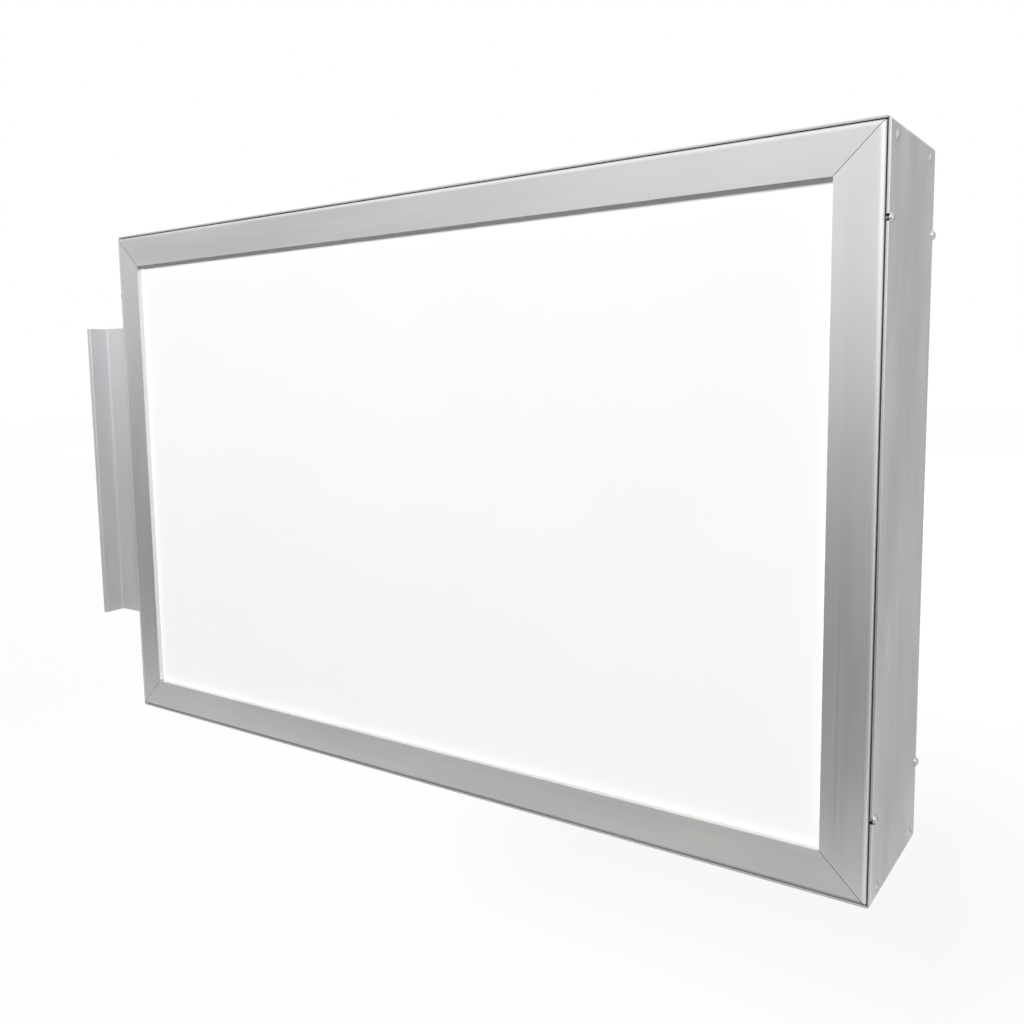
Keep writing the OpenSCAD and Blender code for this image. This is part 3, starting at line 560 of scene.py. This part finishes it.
def setFloor(look):
    material, finish = newFinish("paleFloor")
    matte = finish.node("ShaderNodeBsdfDiffuse", {}, {"Color": look["floorTone"]})
    away = finish.node("ShaderNodeVectorMath", {"operation": "LENGTH"}, {0: finish.place()}, "Value")
    rise = look["farGlow"] - look["nearGlow"]
    level = look["nearGlow"] + finish.clip(away, look["nearEnd"], look["farStart"]) * rise
    glow = finish.node("ShaderNodeEmission", {}, {"Strength": seenRays(finish) * level})
    both = finish.node("ShaderNodeAddShader", {}, {0: matte, 1: glow})
    finish.node("ShaderNodeOutputMaterial", {}, {"Surface": both})
    half, high = look["floorHalf"], look["floorHigh"]
    corners = [(x * half, y * half, high) for x, y in ((-1, -1), (1, -1), (1, 1), (-1, 1))]
    flatSheet("floor", corners, material)


def evenGlow(finish, look):
    return finish.node("ShaderNodeEmission", {}, {"Strength": look["tone"]})


def gradedGlow(finish, look):
    place = finish.place()
    across = finish.node("ShaderNodeSeparateXYZ", {}, {"Vector": place}, "X")
    height = finish.node("ShaderNodeSeparateXYZ", {}, {"Vector": place}, "Z")
    rise = 1 - look["leftShare"]
    side = look["leftShare"] + finish.clip(across, look["leftEnd"], look["rightStart"]) * rise
    share = finish.clip(height, look["darkEnd"], look["paleStart"]) * side
    tone = finish.blend(share, [look["dark"]] * 3, [look["pale"]] * 3)
    return finish.node("ShaderNodeEmission", {}, {"Color": tone})


def setCard(name, look, glowOf):
    material, finish = newFinish(name + "Grey")
    finish.node("ShaderNodeOutputMaterial", {}, {"Surface": glowOf(finish, look)})
    corners = []
    for start, edge in (("from", "near"), ("to", "near"), ("to", "far"), ("from", "far")):
        across, (other, high) = look[start], look[edge]
        corners.append((across, other, high) if look["across"] == "x" else (other, across, high))
    card = flatSheet(name, corners, material)
    card.visible_camera = False
    card.visible_diffuse = False
    card.visible_shadow = False


for lampName, look in lamps.items():
    setLamp(lampName, look)
setWorld(studio)
setFloor(studio)
for cardName, look in gradedCards.items():
    setCard(cardName, look, gradedGlow)
for cardName, look in evenCards.items():
    setCard(cardName, look, evenGlow)
print("studio set")


# mesh tools
meshing = {
    "sameSpot": 1e-6,  # points closer than this are one point, in metres
    "sharpAngle": 32.0,  # edges bent more than this stay sharp, in degrees
}


def weld(work):
    bmesh.ops.remove_doubles(work, verts=work.verts[:], dist=meshing["sameSpot"])


def meshFrom(work, name):
    mesh = bpy.data.meshes.new(name)
    work.to_mesh(mesh)
    work.free()
    return mesh


def solidMesh(work, name):
    weld(work)
    bmesh.ops.recalc_face_normals(work, faces=work.faces[:])
    return meshFrom(work, name)


def settled(block):
    # the block's mesh with its modifiers worked out; the block itself goes
    depsgraph = bpy.context.evaluated_depsgraph_get()
    mesh = bpy.data.meshes.new_from_object(block.evaluated_get(depsgraph))
    bpy.data.objects.remove(block)
    return mesh


def cutAway(mesh, cutters):
    block = linked("block", mesh)
    tools = [linked("tool", cutter) for cutter in cutters]
    for tool in tools:
        cut = block.modifiers.new("cut", "BOOLEAN")
        cut.operation = "DIFFERENCE"
        cut.solver = "EXACT"
        cut.object = tool
    result = settled(block)
    for tool in tools:
        bpy.data.objects.remove(tool)
    return result


# corner pairs of the separate solids in a CAD node
def solidsOf(nodeName):
    work = bmesh.new()
    work.from_mesh(nodes[nodeName].data)
    weld(work)
    found, seen = [], set()
    for start in work.verts:
        if start in seen:
            continue
        seen.add(start)
        group, front = [], [start]
        while front:
            vertex = front.pop()
            group.append(vertex.co.copy())
            for edge in vertex.link_edges:
                other = edge.other_vert(vertex)
                if other not in seen:
                    seen.add(other)
                    front.append(other)
        low = Vector([min(point[i] for point in group) for i in range(3)])
        high = Vector([max(point[i] for point in group) for i in range(3)])
        found.append((low, high))
    work.free()
    return sorted(found, key=lambda pair: tuple(pair[0]))


# turned, threaded and six-sided shapes, all along z, made of rings of points
def ringOf(work, spots):
    # spots: (radius, height) pairs at even angles
    ring = []
    for k, (reach, height) in enumerate(spots):
        angle = 2 * math.pi * k / len(spots)
        ring.append(work.verts.new((reach * math.cos(angle), reach * math.sin(angle), height)))
    return ring


def skin(work, rings):
    turns = len(rings[0])
    for low, high in zip(rings, rings[1:]):
        for k in range(turns):
            after = (k + 1) % turns
            work.faces.new((low[k], low[after], high[after], high[k]))


def pointedEnds(work, rings, firstHigh, lastHigh):
    # fans from the end rings to points on the axis
    turns = len(rings[0])
    first = work.verts.new((0.0, 0.0, firstHigh))
    last = work.verts.new((0.0, 0.0, lastHigh))
    for k in range(turns):
        after = (k + 1) % turns
        work.faces.new((first, rings[0][after], rings[0][k]))
        work.faces.new((last, rings[-1][k], rings[-1][after]))


def flatEnds(work, rings):
    work.faces.new(rings[0][::-1])
    work.faces.new(rings[-1])


def lathe(work, profile, turns):
    # profile: (radius, height) pairs that start and end on the axis
    rings = [ringOf(work, [spot] * turns) for spot in profile[1:-1]]
    skin(work, rings)
    pointedEnds(work, rings, profile[0][1], profile[-1][1])


def domeProfile(across, high, steps):
    # a low dome from its rim to the axis
    bend = ((across / 2) ** 2 + high ** 2) / (2 * high)
    limit = math.asin(min(1.0, across / 2 / bend))
    profile = []
    for i in range(steps + 1):
        lean = limit * (1 - i / steps)
        profile.append((bend * math.sin(lean), high - bend + bend * math.cos(lean)))
    return profile


def threadedShank(work, look, long):
    # a true helix: the groove climbs one pitch in each turn, and the tip is tapered
    radius, deep, pitch = look["shankAcross"] / 2, look["threadDeep"], look["pitch"]
    turns, start, end = look["threadTurns"], -long, look["shankSink"]
    count = int(round((end - start) / pitch * look["threadSteps"]))
    taper = look["tipPitches"] * pitch
    rings = []
    for i in range(count + 1):
        height = start + (end - start) * i / count
        slim = deep * max(0.0, 1.0 - (height - start) / taper)
        grooves = [deep * abs(2.0 * ((height / pitch - k / turns) % 1.0) - 1.0) for k in range(turns)]
        rings.append(ringOf(work, [(radius - max(groove, slim), height) for groove in grooves]))
    skin(work, rings)
    pointedEnds(work, rings, start, end)


def outwardPlace(low, high, headHigh, axis, sign):
    # where a fastener's head foot sits, with its head pointing outwards
    middle = (low + high) / 2
    middle[axis] = high[axis] - headHigh if sign > 0 else low[axis] + headHigh
    outward = Vector((0.0, 0.0, 0.0))
    outward[axis] = sign
    return Matrix.Translation(middle) @ outward.to_track_quat("Z", "Y").to_matrix().to_4x4()


def addPiece(name, template, places, body, nodeName, slotName):
    # one piece with a copy of the template at each place, in place of a CAD node
    work = bmesh.new()
    for place in places:
        mark = len(work.verts)
        work.from_mesh(template)
        work.verts.ensure_lookup_table()
        bmesh.ops.transform(work, matrix=place, verts=work.verts[mark:])
    mesh = meshFrom(work, name)
    mesh.polygons.foreach_set("use_smooth", [True] * len(mesh.polygons))
    mesh.set_sharp_from_angle(angle=math.radians(meshing["sharpAngle"]))
    mesh.materials.append(finishes[slotName])
    piece = linked(name, mesh)
    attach(piece, body)
    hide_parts(nodeName)


# frame screws: domed head with a cross recess, threaded shank
frameScrew = {
    "headAcross": 0.0056, "headHigh": 0.0020, "footInset": 0.0002, "headTurns": 32, "domeSteps": 9,
    "crossLong": 0.0034, "crossWide": 0.0008, "crossDeep": 0.0011, "crossOver": 0.0005,
    "crossFootLong": 0.5, "crossFootWide": 0.7, "crossAngles": (20, 110),
    "shankAcross": 0.0030, "shankLong": 0.0080, "shankSink": 0.0002,
    "pitch": 0.0005, "threadDeep": 0.00025, "threadTurns": 20, "threadSteps": 6, "tipPitches": 1.5,
}


def crossArm(look, turn):
    # one arm of the cross recess: a bar that narrows downwards
    top = look["headHigh"]
    levels = (
        (top - look["crossDeep"], look["crossFootLong"], look["crossFootWide"]),
        (top + look["crossOver"], 1.0, 1.0),
    )
    work = bmesh.new()
    rings = []
    for height, longShare, wideShare in levels:
        x = look["crossLong"] / 2 * longShare
        y = look["crossWide"] / 2 * wideShare
        corners = ((-x, -y), (x, -y), (x, y), (-x, y))
        rings.append([work.verts.new((*corner, height)) for corner in corners])
    skin(work, rings)
    flatEnds(work, rings)
    turned = Matrix.Rotation(math.radians(turn), 3, "Z")
    bmesh.ops.rotate(work, verts=work.verts[:], cent=(0, 0, 0), matrix=turned)
    return solidMesh(work, "crossArm")


def screwTemplate(look):
    work = bmesh.new()
    foot = [(0.0, 0.0), (look["headAcross"] / 2 - look["footInset"], 0.0)]
    dome = domeProfile(look["headAcross"], look["headHigh"], look["domeSteps"])
    lathe(work, foot + dome, look["headTurns"])
    arms = [crossArm(look, turn) for turn in look["crossAngles"]]
    head = cutAway(solidMesh(work, "screwHead"), arms)
    work = bmesh.new()
    work.from_mesh(head)
    threadedShank(work, look, look["shankLong"])
    return meshFrom(work, "screwTemplate")


def makeFrameScrews(look):
    template = screwTemplate(look)
    middle = (cadLow.x + cadHigh.x) / 2
    for side in ("front", "rear"):
        nodeName = side + "_frame_screws"
        places = []
        for low, high in solidsOf(nodeName):
            sign = 1 if high.x > middle else -1
            places.append(outwardPlace(low, high, look["headHigh"], 0, sign))
        addPiece(side + "_cross_screws", template, places, side + "_frame", nodeName, "screw_steel")


makeFrameScrews(frameScrew)
print("frame screws made")


# corner rivets: domed head with the broken pin in its dimple, set tail inside
cornerRivet = {
    "headAcross": 0.0056, "headHigh": 0.0011, "footInset": 0.0001, "headTurns": 28, "domeSteps": 9,
    "shankAcross": 0.0032, "grip": 0.0045, "tailAcross": 0.0048,
    "tailCurve": ((0.6, 0.0), (0.9, 0.0003), (1.0, 0.0008), (0.94, 0.0013)),  # share of radius, height
    "dimpleAcross": 0.0018, "dimpleDeep": 0.0006, "dimpleEdge": 0.00008, "dimpleTaper": 0.0001,
    "pinAcross": 0.0014, "pinHigh": 0.0004, "pinCrown": 0.0001, "pinCrownShare": 0.7,
}


def rivetTemplate(look):
    top, rim, shank = look["headHigh"], look["headAcross"] / 2, look["shankAcross"] / 2
    hole, pin = look["dimpleAcross"] / 2, look["pinAcross"] / 2
    floor = top - look["dimpleDeep"]
    pinTop = floor + look["pinHigh"]
    tail = look["tailAcross"] / 2
    end = -look["grip"] - shank
    profile = [(0.0, end)]
    profile += [(share * tail, end + rise) for share, rise in look["tailCurve"]]
    profile += [(shank, -look["grip"]), (shank, 0.0), (rim - look["footInset"], 0.0)]
    dome = domeProfile(look["headAcross"], top, look["domeSteps"])
    profile += [spot for spot in dome if spot[0] > hole]
    profile += [(hole, top - look["dimpleEdge"]), (hole - look["dimpleTaper"], floor), (pin, floor)]
    profile += [(pin, pinTop), (look["pinCrownShare"] * pin, pinTop + look["pinCrown"]), (0.0, pinTop)]
    work = bmesh.new()
    lathe(work, profile, look["headTurns"])
    return solidMesh(work, "rivetTemplate")


def makeRivets(look):
    boxMiddle = (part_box("casing_left")[0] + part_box("casing_right")[1]) / 2
    places = []
    for low, high in solidsOf("corner_rivets"):
        size = high - low
        axis = 0 if size.x > size.z else 2
        sign = 1 if (low[axis] + high[axis]) / 2 > boxMiddle[axis] else -1
        places.append(outwardPlace(low, high, look["headHigh"], axis, sign))
    addPiece("blind_rivets", rivetTemplate(look), places, "casing", "corner_rivets", "rivet_aluminium")


makeRivets(cornerRivet)
print("rivets made")


# bracket bolts: six-sided head with a turned top edge, threaded to the end
bracketBolt = {
    "flats": 0.0100, "headHigh": 0.0040, "headTurns": 48,
    "chamfer": 0.0007, "topShare": 0.93, "washerShare": 0.95, "washerHigh": 0.0002,
    "shankAcross": 0.0060, "shankSink": 0.0002,
    "pitch": 0.0010, "threadDeep": 0.0005, "threadTurns": 24, "threadSteps": 6, "tipPitches": 1.5,
}


def hexHead(work, look):
    # six sides with the top edge turned off at an angle, and a washer face below
    half, high, turns = look["flats"] / 2, look["headHigh"], look["headTurns"]
    corner = half / math.cos(math.pi / 6)
    washer, topReach = look["washerShare"] * half, look["topShare"] * half
    shoulder = high - look["chamfer"]
    levels = ((0.0, washer), (look["washerHigh"], washer), (look["washerHigh"], corner),
              (shoulder, corner), (high, topReach))
    rings = []
    for height, reach in levels:
        spots = []
        for k in range(turns):
            offFlat = (2 * math.pi * k / turns + math.pi / 6) % (math.pi / 3) - math.pi / 6
            side = half / math.cos(offFlat)
            lift = 0.0
            if height == shoulder:
                lift = look["chamfer"] * (corner - side) / (corner - topReach)
            spots.append((min(reach, side), height + lift))
        rings.append(ringOf(work, spots))
    skin(work, rings)
    flatEnds(work, rings)


def makeBolts(look):
    solids = solidsOf("bracket_bolts")
    long = solids[0][1].x - solids[0][0].x - look["headHigh"]
    work = bmesh.new()
    hexHead(work, look)
    threadedShank(work, look, long)
    template = solidMesh(work, "boltTemplate")
    places = [outwardPlace(low, high, look["headHigh"], 0, -1) for low, high in solids]
    addPiece("hex_bolts", template, places, "casing", "bracket_bolts", "zinc_steel")


makeBolts(bracketBolt)
print("bracket bolts made")


# inner leads: round sheaths that bend smoothly along the routes of the CAD
innerLead = {
    "runs": {
        "mains_leads": ("mains_sheaths", "mains_sheath"),
        "dc_lead_top": ("dc_sheath_top", "dc_sheath"),
        "dc_lead_bottom": ("dc_sheath_bottom", "dc_sheath"),
        "earth_lead": ("earth_sheath_run", "earth_sheath"),
    },
    "swell": 0.00013, "flatAngle": 30.0, "endAngle": 75.0, "rounds": 2,
}


def roundedLead(name, source, look):
    # the flat-sided run is swelled a little, since smoothing draws it in, and its cut ends stay square
    work = bmesh.new()
    work.from_mesh(source)
    weld(work)
    limits = {"angle_face_threshold": math.radians(look["flatAngle"]), "angle_shape_threshold": math.pi}
    bmesh.ops.join_triangles(work, faces=work.faces[:], **limits)
    crease = work.edges.layers.float.new("crease_edge")
    work.normal_update()
    for edge in work.edges:
        if edge.calc_face_angle(0.0) > math.radians(look["endAngle"]):
            edge[crease] = 1.0
    for vertex in work.verts:
        vertex.co += vertex.normal * look["swell"]
    block = linked("block", meshFrom(work, name))
    smooth = block.modifiers.new("smooth", "SUBSURF")
    smooth.levels = look["rounds"]
    return settled(block)


def makeLeads(look):
    for nodeName, (pieceName, slotName) in look["runs"].items():
        run = roundedLead(pieceName, nodes[nodeName].data, look)
        addPiece(pieceName, run, [Matrix.Identity(4)], "casing", nodeName, slotName)


makeLeads(innerLead)
print("inner leads made")
